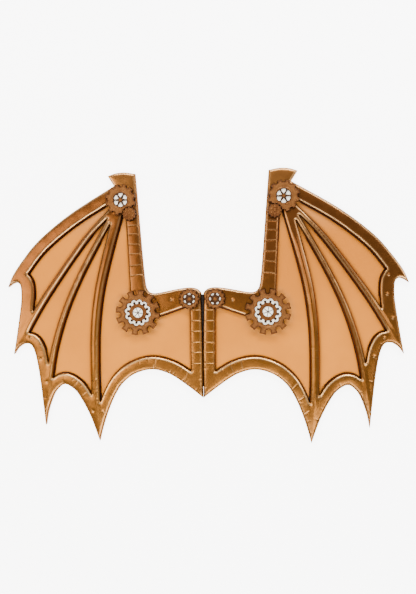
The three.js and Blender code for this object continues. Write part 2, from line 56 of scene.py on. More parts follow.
# Camera: over the wings, turned a little towards the right one
IMAGE_HEIGHT = 594
CAMERA_DISTANCE = 1.2
CAMERA_YAW = math.radians(5.48)
CAMERA_ROLL = math.radians(0.595)
CAMERA_TARGET = Vector((0.011, 0.018, 0.008))
PIXEL = 0.00199  # of the photograph, on the wings
SENSOR = 36


def make_camera():
    data = bpy.data.cameras.new("camera")
    data.sensor_width = SENSOR
    focal_pixels = CAMERA_DISTANCE / PIXEL / math.sqrt(math.cos(CAMERA_YAW))
    data.lens = focal_pixels * SENSOR / IMAGE_HEIGHT
    camera = bpy.data.objects.new("camera", data)
    bpy.context.scene.collection.objects.link(camera)
    back = Vector((math.sin(CAMERA_YAW), 0, math.cos(CAMERA_YAW)))
    right = Vector((math.sin(CAMERA_ROLL), math.cos(CAMERA_ROLL), 0)).cross(back).normalized()
    turn = Matrix((right, back.cross(right), back)).transposed()
    place = Matrix.Translation(CAMERA_TARGET + back * CAMERA_DISTANCE)
    camera.matrix_world = place @ turn.to_4x4()
    bpy.context.scene.camera = camera


make_camera()

# Heights of the solids, read from the frame
FRAME_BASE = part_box("frame_right")[0].z
GEAR_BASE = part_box("big_gear_right")[0].z
FRAME_TOP = GEAR_BASE - 0.3 * MM


# Plane outlines

CORNER = math.radians(50)  # an edge that turns by more has a corner there


def face_loops(node, top=False):
    """The closed loops round a CAD node's lowest or highest faces, in plan, the largest first.
    They have the material on their left."""
    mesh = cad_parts[node].data
    co = np.array([v.co[:] for v in mesh.vertices])
    level = co[:, 2].max() if top else co[:, 2].min()
    is_level = np.abs(co[:, 2] - level) < 1e-5
    key = [tuple(np.round(p * 1e6).astype(int)) for p in co]
    place = {k: p for k, p in zip(key, co)}
    uses = set()
    for polygon in mesh.polygons:
        corners = list(polygon.vertices)
        if all(is_level[i] for i in corners):
            if not top:
                corners.reverse()
            for a, b in zip(corners, corners[1:] + corners[:1]):
                uses.add((key[a], key[b]))
    follows = {a: b for a, b in uses if (b, a) not in uses}
    loops = []
    while follows:
        start = min(follows)
        loop = [start]
        at = follows.pop(start)
        while at != start:
            loop.append(at)
            at = follows.pop(at)
        loops.append(np.array([place[k][:2] for k in loop]))
    return sorted(loops, key=lambda loop: -np.ptp(loop[:, 0]) * np.ptp(loop[:, 1]))


def turns(loop):
    """How far a closed loop turns at each point, in radians."""
    on = np.roll(loop, -1, 0) - loop
    heading = np.arctan2(on[:, 1], on[:, 0])
    turn = heading - np.roll(heading, 1)
    return (turn + math.pi) % (2 * math.pi) - math.pi


def hermite(a, b, into, out, t):
    """The point at t on the curve from a to b with the given tangents."""
    return (
        (2 * t**3 - 3 * t**2 + 1) * a
        + (t**3 - 2 * t**2 + t) * into
        + (3 * t**2 - 2 * t**3) * b
        + (t**3 - t**2) * out
    )


def smoothed(loop, step):
    """The loop as points about a step apart on a smooth curve, with its corners kept."""
    corners = np.where(np.abs(turns(loop)) > CORNER)[0]
    start = corners[0] if len(corners) else 0
    loop = np.roll(loop, -start, 0)
    corners = set((corners - start) % len(loop))
    count = len(loop)
    points = []
    for i in range(count):
        a, b = loop[i], loop[(i + 1) % count]
        before = a if i in corners else loop[i - 1]
        after = b if (i + 1) % count in corners else loop[(i + 2) % count]
        span = np.linalg.norm(b - a)
        # Centripetal Catmull-Rom tangents, scaled to this span
        into = centripetal_tangent(before, a, b)
        out = -centripetal_tangent(after, b, a)
        pieces = max(1, round(span / step))
        points += [hermite(a, b, into, out, t) for t in np.arange(pieces) / pieces]
    return np.array(points)


def eased(loop, radius):
    """The loop with its corners rounded off."""
    sharp = np.abs(turns(loop)) > CORNER
    points = []
    for i, p in enumerate(loop):
        if not sharp[i]:
            points.append(p)
            continue
        ends = []
        for other in (loop[i - 1], loop[(i + 1) % len(loop)]):
            away = other - p
            ends.append(p + away * min(radius / np.linalg.norm(away), 0.4))
        for t in (0, 0.25, 0.5, 0.75, 1):
            points.append((1 - t) ** 2 * ends[0] + 2 * t * (1 - t) * p + t**2 * ends[1])
    return np.array(points)


def centripetal_tangent(before, at, after):
    """The tangent at a point of the curve's piece that runs on to the next point."""
    near = math.sqrt(np.linalg.norm(at - before))
    far = math.sqrt(np.linalg.norm(after - at))
    if near < 1e-6:
        return after - at
    return far * (
        (at - before) / near - (after - before) / (near + far) + (after - at) / far
    )


def circle(middle, radius, count):
    turn = 2 * math.pi * np.arange(count) / count
    return middle + radius * np.stack([np.cos(turn), np.sin(turn)], 1)


def inward_normals(loop):
    """Unit normals to the left of a closed loop, which is the material's side."""
    on = np.roll(loop, -1, 0) - loop
    back = loop - np.roll(loop, 1, 0)
    along = (
        on / np.linalg.norm(on, axis=1)[:, None] + back / np.linalg.norm(back, axis=1)[:, None]
    )
    length = np.linalg.norm(along, axis=1)[:, None]
    along = along / np.maximum(length, 1e-9)
    return np.stack([-along[:, 1], along[:, 0]], 1)


def is_inside(points, loops):
    """Whether each point is in the area between the loops."""
    crossings = np.zeros(len(points), int)
    for loop in loops:
        a, b = loop, np.roll(loop, -1, 0)
        for start in range(0, len(points), 4000):
            p = points[start : start + 4000]
            above = (a[None, :, 1] > p[:, None, 1]) != (b[None, :, 1] > p[:, None, 1])
            rise = np.where(b[:, 1] == a[:, 1], 1, b[:, 1] - a[:, 1])
            x = a[:, 0] + (p[:, None, 1] - a[:, 1]) * (b[:, 0] - a[:, 0]) / rise
            crossings[start : start + 4000] += (above & (x > p[:, None, 0])).sum(1)
    return crossings % 2 == 1


def tree_of(points):
    tree = kdtree.KDTree(len(points))
    for i, p in enumerate(points):
        tree.insert((p[0], p[1], 0), i)
    tree.balance()
    return tree


def distances(points, tree):
    """How far each plane point is from the nearest point of a tree."""
    return np.array([tree.find((p[0], p[1], 0))[2] for p in points])


def nearest(points, tree):
    """The index of the point of a tree that is nearest to each plane point."""
    return np.array([tree.find((p[0], p[1], 0))[1] for p in points])


class Plan:
    """A fine triangle mesh in plan between loops that have the material on their left, and each
    point's distance to the nearest edge."""

    def __init__(self, loops, step, insets, spacing, extra=None):
        self.loops = [smoothed(loop, step) for loop in loops]
        fine = [smoothed(loop, step / 4) for loop in loops]
        self.fine = np.concatenate(fine)
        self.tree = tree_of(self.fine)
        self.facing = np.concatenate([-inward_normals(loop) for loop in fine])
        edge = np.concatenate(self.loops)
        points = [edge]
        for inset in insets:
            ring = np.concatenate([loop + inset * inward_normals(loop) for loop in self.loops])
            points.append(ring[self.to_edge(ring) > 0.93 * inset])
        low, high = edge.min(0), edge.max(0)
        rows = np.arange(low[1], high[1], spacing * math.sqrt(3) / 2)
        grid = []
        for k, y in enumerate(rows):
            xs = np.arange(low[0] + spacing / 2 * (k % 2), high[0], spacing)
            grid.append(np.stack([xs, np.full(len(xs), y)], 1))
        grid = np.concatenate(grid)
        grid = grid[is_inside(grid, self.loops)]
        grid = grid[self.to_edge(grid) > insets[-1] + 0.6 * spacing]
        if extra is not None:
            extra = extra[is_inside(extra, self.loops)]
            extra = extra[self.to_edge(extra) > insets[0]]
            taken = tree_of(extra)
            grid = grid[distances(grid, taken) > 0.55 * spacing]
            points.append(extra)
        points.append(grid)
        every = np.concatenate(points)
        self.edge_count = len(edge)
        self.points, self.triangles = triangulated(every, self.loops)
        self.distance = self.to_edge(self.points)
        self.distance[: self.edge_count] = 0
        self.nearest = nearest(self.points, self.tree)

    def to_edge(self, points):
        return distances(points, self.tree)

    def area(self):
        """The flat area between the loops."""
        a, b, c = (self.points[self.triangles[:, i]] for i in range(3))
        return float(np.abs(np.cross(b - a, c - a)).sum() / 2)


def triangulated(points, loops):
    """The points, and the triangles between the loops, which the first points are on."""
    edges = []
    start = 0
    for loop in loops:
        count = len(loop)
        edges += [(start + i, start + (i + 1) % count) for i in range(count)]
        start += count
    out = delaunay_2d_cdt([Vector(p) for p in points], edges, [], 0, 1e-7, True)
    place = np.array([v[:] for v in out[0]])
    triangles = np.array([f for f in out[2] if len(f) == 3])
    origin = [group[0] if group else len(points) + i for i, group in enumerate(out[3])]
    order = np.argsort(origin, kind="stable")
    new_index = np.empty(len(order), int)
    new_index[order] = np.arange(len(order))
    place = place[order]
    triangles = new_index[triangles]
    middles = place[triangles].mean(1)
    triangles = triangles[is_inside(middles, loops)]
    a, b, c = (place[triangles[:, i]] for i in range(3))
    area = (b - a)[:, 0] * (c - a)[:, 1] - (b - a)[:, 1] * (c - a)[:, 0]
    triangles[area < 0] = triangles[area < 0][:, ::-1]
    return place, triangles


def closed_piece(name, plan, base, wall_levels, top, attributes, side=1, bottom=None, under=1):
    """A closed mesh object: a plan's top at the given heights, walls, and an underside, which is
    flat or at the heights in bottom. The attribute wall is 1 on the walls and under below."""
    points, count = plan.points, len(plan.points)
    rim = plan.edge_count
    verts = [np.column_stack([points, top])]
    starts = [0]
    for level in wall_levels:
        starts.append(sum(map(len, verts)))
        verts.append(np.column_stack([points[:rim], np.full(rim, level)]))
    starts.append(sum(map(len, verts)))
    if bottom is None:
        verts.append(np.column_stack([points[:rim], np.full(rim, base)]))
        _, lowest = triangulated(points[:rim], plan.loops)
    else:
        verts.append(np.column_stack([points, bottom]))
        lowest = plan.triangles
    faces = [plan.triangles, lowest[:, ::-1] + starts[-1]]
    for high, low in zip(starts, starts[1:]):
        offset = 0
        for loop in plan.loops:
            i = offset + np.arange(len(loop))
            j = offset + (np.arange(len(loop)) + 1) % len(loop)
            faces.append(np.stack([low + i, low + j, high + j], 1))
            faces.append(np.stack([low + i, high + j, high + i], 1))
            offset += len(loop)
    verts = np.concatenate(verts)
    faces = np.concatenate(faces)
    if side < 0:
        verts = verts * [-1, 1, 1]
        faces = faces[:, ::-1]
    mesh = bpy.data.meshes.new(name)
    mesh.from_pydata(verts.tolist(), [], faces.tolist())
    wall = np.ones(len(verts) - count)
    wall[starts[-1] - count :] = under
    for label, values in {**attributes, "wall": np.zeros(count)}.items():
        attribute = mesh.attributes.new(label, "FLOAT", "POINT")
        rest = wall if label == "wall" else np.zeros(len(verts) - count)
        attribute.data.foreach_set("value", np.concatenate([values, rest]).astype(np.float32))
    mesh.polygons.foreach_set("use_smooth", np.ones(len(mesh.polygons), bool))
    obj = bpy.data.objects.new(name, mesh)
    bpy.context.scene.collection.objects.link(obj)
    return obj


def undulation(points, size, seed):
    """Soft noise from -1 to 1 at plane points, with lumps of about the given size."""
    return np.array([noise.noise((p[0] / size, p[1] / size, seed)) for p in points])


def dressed(obj, node, material):
    """The object stands for a CAD node and rides with it."""
    obj.data.materials.append(material)
    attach(obj, "root")
    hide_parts(node)
    return obj


# Materials


class Nodes:
    """Short names for making a material's nodes."""

    def __init__(self, name):
        self.material = bpy.data.materials.new(name)
        self.material.use_nodes = True
        self.tree = self.material.node_tree
        self.shader = self.tree.nodes["Principled BSDF"]
        self.place = self.add("ShaderNodeTexCoord").outputs["Object"]

    def add(self, kind, **values):
        node = self.tree.nodes.new(kind)
        for key, value in values.items():
            setattr(node, key, value)
        return node

    def link(self, a, b):
        self.tree.links.new(a, b)

    def up_the_wing(self):
        """The place up the wing, in metres from the middle."""
        split = self.add("ShaderNodeSeparateXYZ")
        self.link(self.place, split.inputs[0])
        return split.outputs["Y"]

    def put(self, socket, value):
        if hasattr(value, "is_linked"):
            self.link(value, socket)
        else:
            socket.default_value = value

    def noise(self, scale, detail=4.0, roughness=0.55):
        node = self.add("ShaderNodeTexNoise")
        node.inputs["Scale"].default_value = scale
        node.inputs["Detail"].default_value = detail
        node.inputs["Roughness"].default_value = roughness
        self.link(self.place, node.inputs["Vector"])
        return node.outputs["Fac"]

    def cells(self, scale):
        node = self.add("ShaderNodeTexVoronoi", feature="DISTANCE_TO_EDGE")
        node.inputs["Scale"].default_value = scale
        self.link(self.place, node.inputs["Vector"])
        return node.outputs["Distance"]

    def attribute(self, name, share=None):
        value = self.add("ShaderNodeAttribute", attribute_name=name).outputs["Fac"]
        return value if share is None else self.math("MULTIPLY", value, share)

    def math(self, operation, a, b=0.0):
        node = self.add("ShaderNodeMath", operation=operation)
        self.put(node.inputs[0], a)
        self.put(node.inputs[1], b)
        return node.outputs[0]

    def ramp(self, value, low, high, to_low=0.0, to_high=1.0):
        node = self.add("ShaderNodeMapRange", interpolation_type="SMOOTHSTEP")
        self.put(node.inputs["Value"], value)
        node.inputs["From Min"].default_value = low
        node.inputs["From Max"].default_value = high
        node.inputs["To Min"].default_value = to_low
        node.inputs["To Max"].default_value = to_high
        return node.outputs["Result"]

    def mix(self, factor, a, b):
        node = self.add("ShaderNodeMix", data_type="RGBA")
        self.put(node.inputs["Factor"], factor)
        self.put(node.inputs[6], a)
        self.put(node.inputs[7], b)
        return node.outputs[2]

    def bump(self, height, strength, distance):
        node = self.add("ShaderNodeBump")
        node.inputs["Strength"].default_value = strength
        node.inputs["Distance"].default_value = distance
        self.link(height, node.inputs["Height"])
        self.link(node.outputs["Normal"], self.shader.inputs["Normal"])

    def set(self, **values):
        for key, value in values.items():
            name = key.replace("_", " ").title().replace("Ior", "IOR")
            self.put(self.shader.inputs[name], value)


def colour(red, green, blue):
    """An 8-bit sRGB colour as the linear colour that a shader takes."""
    def linear(c):
        c = c / 255
        return c / 12.92 if c <= 0.04045 else ((c + 0.055) / 1.055) ** 2.4
    return (linear(red), linear(green), linear(blue), 1.0)


def bronze_vinyl():
    """Metallic vinyl over foam: browner up the wing and golden at hems and claws, partly painted
    reflection; dark in creases and along edges, mostly painted shade; pale worn edges with painted
    highlights.
    """
    n = Nodes("bronze_vinyl")
    y = n.up_the_wing()
    # Browner up the wing, golden at the hems: partly the vinyl's tone, partly painted reflection
    # of the lamps
    base = n.mix(n.ramp(y, -0.17, 0.12), (0.29, 0.11, 0.018, 1), (0.155, 0.05, 0.011, 1))
    # Painted shade: the vinyl darker towards the outer side of the right wing
    base = n.mix(n.attribute("outer_side_shade"), base, (0.07, 0.024, 0.005, 1))
    base = n.mix(n.ramp(y, 0.215, 0.245, 0, 0.8), base, (0.3, 0.12, 0.028, 1))  # the claw
    cloudy = n.math("MULTIPLY", n.ramp(n.noise(22, 2), 0.3, 0.7), 0.3)
    base = n.mix(cloudy, base, (0.13, 0.045, 0.008, 1))
    # Pale worn edges and painted highlights
    base = n.mix(n.attribute("wear_and_highlight", 0.85), base, (0.92, 0.56, 0.24, 1))
    # Painted shade in the creases and wrinkles, along the edges, down the ribs' ridges and round
    # the gears
    base = n.mix(n.attribute("crease"), base, (0.035, 0.01, 0.003, 1))
    base = n.mix(n.attribute("wall"), base, (0.008, 0.003, 0.001, 1))
    n.set(base_color=base, metallic=0.85, specular_tint=(0.85, 0.6, 0.42, 1))
    n.set(roughness=n.ramp(n.noise(60, 2), 0.2, 0.8, 0.27, 0.33))
    n.bump(n.ramp(n.cells(900), 0.0, 0.12), 0.04, 0.0002)
    return n.material


def peach_vinyl():
    """Smooth peach sheet with faint clouds, deeper up the wing, with painted shade against the
    frame and a painted tint of the shade round the gears.
    """
    n = Nodes("peach_vinyl")
    clouds = n.ramp(n.noise(9, 3), 0.3, 0.7)
    base = n.mix(clouds, (0.68, 0.222, 0.012, 1), (0.6, 0.19, 0.01, 1))
    deeper = n.math("MULTIPLY", n.ramp(n.up_the_wing(), -0.1, 0.1), n.attribute("deeper"))
    base = n.mix(deeper, base, (0.48, 0.146, 0.008, 1))
    # Painted tint of the shade round the gears and under the upper gear
    base = n.mix(n.attribute("gear_shade_tint"), base, (0.5, 0.21, 0.055, 1))
    base = n.mix(n.attribute("shade", 0.8), base, (0.17, 0.06, 0.014, 1))
    # Painted shade: the dark line beside the frame
    base = n.mix(n.attribute("crease"), base, (0.012, 0.004, 0.002, 1))
    base = n.mix(n.attribute("wall"), base, (0.12, 0.035, 0.004, 1))
    n.set(base_color=base, specular_ior_level=0.12)
    n.set(roughness=n.ramp(n.noise(60, 2), 0.2, 0.8, 0.5, 0.62))
    n.bump(n.ramp(n.cells(1100), 0.0, 0.12), 0.08, 0.00015)
    return n.material


def gear_plastic():
    """Bronze-brown gears: dark in the engraved lines and at the edges, mostly painted shade, dark
    down the walls, pale on the rims with wear and painted highlight.
    """
    n = Nodes("gear_plastic")
    clouds = n.ramp(n.noise(90, 4), 0.35, 0.65)
    base = n.mix(clouds, (0.15, 0.052, 0.011, 1), (0.1, 0.03, 0.006, 1))
    base = n.mix(n.attribute("wear_and_highlight", 0.4), base, (0.27, 0.11, 0.028, 1))
    # Painted shade in the engraving and at the edges, which are also burnt
    base = n.mix(n.attribute("crease"), base, colour(40, 18, 6))
    # Darker spokes and knobs, partly painted shade
    base = n.mix(n.attribute("dark"), base, colour(38, 22, 14))
    base = n.mix(n.attribute("wall"), base, colour(34, 15, 5))
    n.set(base_color=base, metallic=0.5, specular_tint=(0.9, 0.75, 0.6, 1))
    n.set(specular_ior_level=0.3)
    n.set(roughness=n.ramp(n.noise(200, 2), 0.2, 0.8, 0.36, 0.52))
    n.bump(n.noise(700, 3), 0.08, 0.0003)
    return n.material


def pale_inlay():
    """Cream plastic behind the gears' windows, with a painted glow."""
    n = Nodes("pale_inlay")
    clouds = n.ramp(n.noise(160, 3), 0.3, 0.7)
    base = n.mix(clouds, (0.99, 0.93, 0.8, 1), (0.98, 0.9, 0.74, 1))
    n.set(base_color=base, roughness=n.ramp(n.noise(300, 2), 0.2, 0.8, 0.34, 0.46))
    # Painted light: a faint glow that makes the cream plastic brighter than the lamps leave it
    n.set(emission_color=(1, 0.93, 0.82, 1), emission_strength=0.5)
    n.bump(n.noise(400, 2), 0.1, 0.0002)
    return n.material


def star_metal():
    """Dark metal, browner on the boss in the middle."""
    n = Nodes("star_metal")
    base = n.mix(n.ramp(n.noise(300, 3), 0.3, 0.7), colour(36, 38, 50), colour(26, 28, 38))
    base = n.mix(n.attribute("dark"), base, colour(62, 46, 40))
    n.set(base_color=base, metallic=0.2, roughness=0.45)
    n.bump(n.noise(900, 2), 0.1, 0.0001)
    return n.material


def dark_cloth():
    """Dark woven cloth."""
    n = Nodes("dark_cloth")
    weave = []
    for axis in ("X", "Y"):
        wave = n.add("ShaderNodeTexWave", bands_direction=axis)
        wave.inputs["Scale"].default_value = 260
        wave.inputs["Distortion"].default_value = 0.6
        n.link(n.place, wave.inputs["Vector"])
        weave.append(wave.outputs["Fac"])
    cloth = n.math("MULTIPLY", *weave)
    base = n.mix(cloth, colour(26, 17, 12), colour(52, 36, 26))
    n.set(base_color=base, roughness=0.9)
    n.bump(cloth, 0.5, 0.0003)
    return n.material


MATERIALS = {
    "frame": bronze_vinyl(),
    "membrane": peach_vinyl(),
    "gears": gear_plastic(),
    "inlay": pale_inlay(),
    "star": star_metal(),
    "strip": dark_cloth(),
}


# Padded frames

WALL_HEIGHT = 5.5 * MM  # of the upright side, below the rounding
EDGE_ROUND = 6 * MM
RIDGE_HEIGHTS = {"right": 2.8 * MM, "left": 1.9 * MM}
FRAME_SEEDS = {"right": 3.7, "left": 11.2}
OUTER_SIDE_SHADE = {"right": 0.4, "left": 0}  # how far painted shade darkens the vinyl at the outer side
CROWN = 15 * MM  # from the edge over which the padding still rises a little
CROWN_SHARE = 0.3  # of the rounding's height
PAD_MARGIN = 3 * MM
SEAM_HALF = (0.4 * MM, 2.8 * MM)  # half the gap at the foot of the seam and at its top
SEAM_TOP = 26 * MM
SEAM_FOOT = -95 * MM

# Middle lines of the right wing's ribs in millimetres, from the upper gear to a tip, and each
# rib's half width at the gear and at the hem
RIBS = {
    "outer": (5, 7.5, [
        (162, 213.8), (226, 149.4), (258.4, 109.1), (288.8, 67.3), (318.4, 25.4),
        (345.6, -17.7), (389, -95),
    ]),
    "middle": (5, 7.2, [
        (162, 213.8), (186, 176), (218.4, 119.3), (249.2, 62.1), (276, 3.3),
        (296.8, -57.8), (310.8, -119.9), (323, -239),
    ]),
    "inner": (10, 8.5, [
        (162, 213.8), (192, 105), (209, 32.9), (218, -41), (219.6, -115),
        (217.6, -190), (211, -270),
    ]),
}

# Pressed creases of each wing: x and y in millimetres as on the right wing, the direction in
# degrees, the half length, and the depth
CREASES = {
    "right": [
        (129, 166, -4, 23, 1.3), (128, 148, -4, 23, 1.2), (127, 128, -3, 23, 1.3),
        (126, 107, -4, 23, 1.2), (125, 87, -3, 23, 1.4), (124, 64, -4, 23, 1.2),
        (14, -8, 0, 13, 1.1), (14, -29, 1, 13, 1.2), (14, -50, -1, 13, 1.3),
        (14, -72, 0, 13, 1.2), (14, -92, 1, 13, 1.1), (14, -114, 0, 13, 1.0),
        (59, -125, 105, 14, 0.8), (79, -117, 98, 14, 0.9), (179, -160, 40, 13, 1.0),
        (190, -184, 30, 13, 0.9), (196, -214, 34, 14, 1.1), (322, -207, 175, 12, 0.9),
    ],
    "left": [
        (129, 162, -3, 23, 1.2), (128, 145, -4, 23, 1.3), (127, 125, -4, 23, 1.3),
        (126, 106, -3, 23, 1.2), (125, 83, -4, 23, 1.3), (124, 63, -3, 23, 1.3),
        (14, -8, 1, 13, 1.1), (14, -29, 0, 13, 1.3), (14, -50, 1, 13, 1.2),
        (14, -72, -1, 13, 1.2), (14, -92, 0, 13, 1.2), (14, -114, 1, 13, 1.0),
        (36, -140, 112, 13, 0.9), (96, -113, 92, 14, 0.8), (238, -170, 140, 12, 0.9),
        (258, -154, 125, 12, 0.9), (320, -204, 175, 12, 0.8),
    ],
}
CREASE_HALF_WIDTH = 0.9 * MM
CREASE_SHARE = 0.32  # of a crease's depth that its groove is pressed in
CREASE_DARKNESS = 0.25
CREASE_WAVE = (0.6 * MM, 6 * MM)  # how far a crease sways to the side, and how quickly

CREASE_ROWS = (-2.2, -1.2, -0.5, 0.2, 1.0, 1.9)  # of mesh points beside its middle, in mm

# Fine creases that run in from the frame's edges, at random
WRINKLE_GAPS = (6 * MM, 24 * MM)
WRINKLE_DEPTHS = (0.1 * MM, 0.55 * MM)
WRINKLE_REACHES = (4 * MM, 15 * MM)
WRINKLE_HALF_WIDTH = 0.9 * MM

# Dimples: x and y in millimetres as on the right wing
DIMPLES = {
    "right": [(358, 20), (361, 58), (368, -26), (352, -64), (332, -100), (60, 12), (72, 30)],
    "left": [(332, -104), (318, -150), (224, -209), (202, -210), (62, 14), (352, -60)],
}
DIMPLE_DEPTH = 1.1 * MM
DIMPLE_RADIUS = 2.8 * MM
DIMPLE_RINGS = [(0, 1), (0.35, 6), (0.75, 12), (1.2, 18), (1.7, 24)]


def along_rib(points, line):
    """The signed distance of each point to a rib's middle line, and the share along it."""
    line = smoothed_line(np.array(line) * MM)
    best = np.full(len(points), np.inf)
    signed = np.zeros(len(points))
    share = np.zeros(len(points))
    steps = np.linalg.norm(np.diff(line, axis=0), axis=1)
    so_far = np.concatenate([[0], np.cumsum(steps)])
    for i, (a, b) in enumerate(zip(line, line[1:])):
        u = (b - a) / steps[i]
        w = points - a
        t = np.clip(w @ u, 0, steps[i])
        away = np.linalg.norm(w - t[:, None] * u, axis=1)
        nearer = away < best
        best = np.where(nearer, away, best)
        cross = u[0] * w[:, 1] - u[1] * w[:, 0]
        signed = np.where(nearer, np.sign(cross) * away, signed)
        share = np.where(nearer, (so_far[i] + t) / so_far[-1], share)
    return signed, share


def rib_places(points):
    """For each rib, the points' distance to its middle line, share along it, and half width."""
    for half_gear, half_hem, line in RIBS.values():
        signed, share = along_rib(points, line)
        yield signed, share, (half_gear + (half_hem - half_gear) * share) * MM


def smoothed_line(line, step=4 * MM):
    """An open smooth curve through points."""
    points = [line[0]]
    for i in range(len(line) - 1):
        a, b = line[i], line[i + 1]
        into = centripetal_tangent(line[i - 1] if i else a, a, b)
        out = -centripetal_tangent(line[i + 2] if i + 2 < len(line) else b, b, a)
        pieces = max(1, round(np.linalg.norm(b - a) / step))
        points += [hermite(a, b, into, out, t) for t in np.arange(1, pieces + 1) / pieces]
    return np.array(points)


def bell(value, width):
    """1 where the value is 0, falling to 1/e at the width."""
    return np.exp(-((value / width) ** 2))


def smoothstep(value, low, high):
    t = np.clip((value - low) / (high - low), 0, 1)
    return t * t * (3 - 2 * t)


def gear_middles():
    """The middle and the radius of each gear on the right wing, from its solid's box."""
    found = {}
    for name in ("upper_gear", "small_cog", "big_gear", "small_gear"):
        low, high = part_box(f"{name}_right")
        middle = (low + high) / 2
        found[name] = (np.array(middle[:2]), (high.x - low.x) / 2)
    return found


GEARS = gear_middles()
GEAR_EDGES = tree_of(np.concatenate([
    smoothed(face_loops(f"{name}_right", top=name != "small_cog")[0], 0.7 * MM) for name in GEARS
]))


def direction(degrees):
    return np.array([math.cos(math.radians(degrees)), math.sin(math.radians(degrees))])


def crease_sway(along, x):
    """How far a crease at x sways to the side at places along it."""
    return CREASE_WAVE[0] * np.sin(along / CREASE_WAVE[1] + x)


def crease_axes(points, crease):
    """The places of points along and across a crease."""
    x, y, degrees, _, _ = crease
    u = direction(degrees)
    w = points - np.array([x, y]) * MM
    return w @ u, w[:, 1] * u[0] - w[:, 0] * u[1] + crease_sway(w @ u, x)


def crease_rows():
    """Plane points along every crease and round every dimple, so that the mesh can follow them."""
    rows = [
        circle(np.array(place) * MM, DIMPLE_RADIUS * share, count)
        for place in DIMPLES["right"] + DIMPLES["left"] for share, count in DIMPLE_RINGS
    ]
    for crease in CREASES["right"] + CREASES["left"]:
        x, y, degrees, reach, _ = crease
        u = direction(degrees)
        side = np.array([-u[1], u[0]])
        along = np.arange(-reach, reach, 1.3) * MM
        middle = np.array([x, y]) * MM + along[:, None] * u
        for across in CREASE_ROWS:
            rows.append(middle + (across * MM - crease_sway(along, x))[:, None] * side)
    return np.concatenate(rows)


def wrinkles(plan, seed):
    """Depth and lit lip of the fine creases that run in from the edges."""
    random = np.random.default_rng(seed)
    steps = np.linalg.norm(np.diff(plan.fine, axis=0, prepend=plan.fine[-1:]), axis=1)
    along = np.cumsum(np.minimum(steps, 2 * STEP))
    count = int(along[-1] / np.mean(WRINKLE_GAPS)) + 1
    places = np.cumsum(random.uniform(*WRINKLE_GAPS, count))
    depths = random.uniform(*WRINKLE_DEPTHS, count)
    reaches = random.uniform(*WRINKLE_REACHES, count)
    at = along[plan.nearest]
    after = np.clip(np.searchsorted(places, at), 1, count - 1)
    near = np.where(at - places[after - 1] < places[after] - at, after - 1, after)
    across = at - places[near] + 0.5 * MM * np.sin(plan.distance / (2.5 * MM) + near)
    d = plan.distance
    reach = reaches[near]
    span = smoothstep(d, 0.6 * MM, 2.5 * MM) * (1 - smoothstep(d, 0.5 * reach, reach))
    groove = depths[near] * span * bell(across, WRINKLE_HALF_WIDTH)
    lip = span * bell(across - 1.5 * MM, 0.8 * MM) * depths[near] / WRINKLE_DEPTHS[1]
    return groove, lip


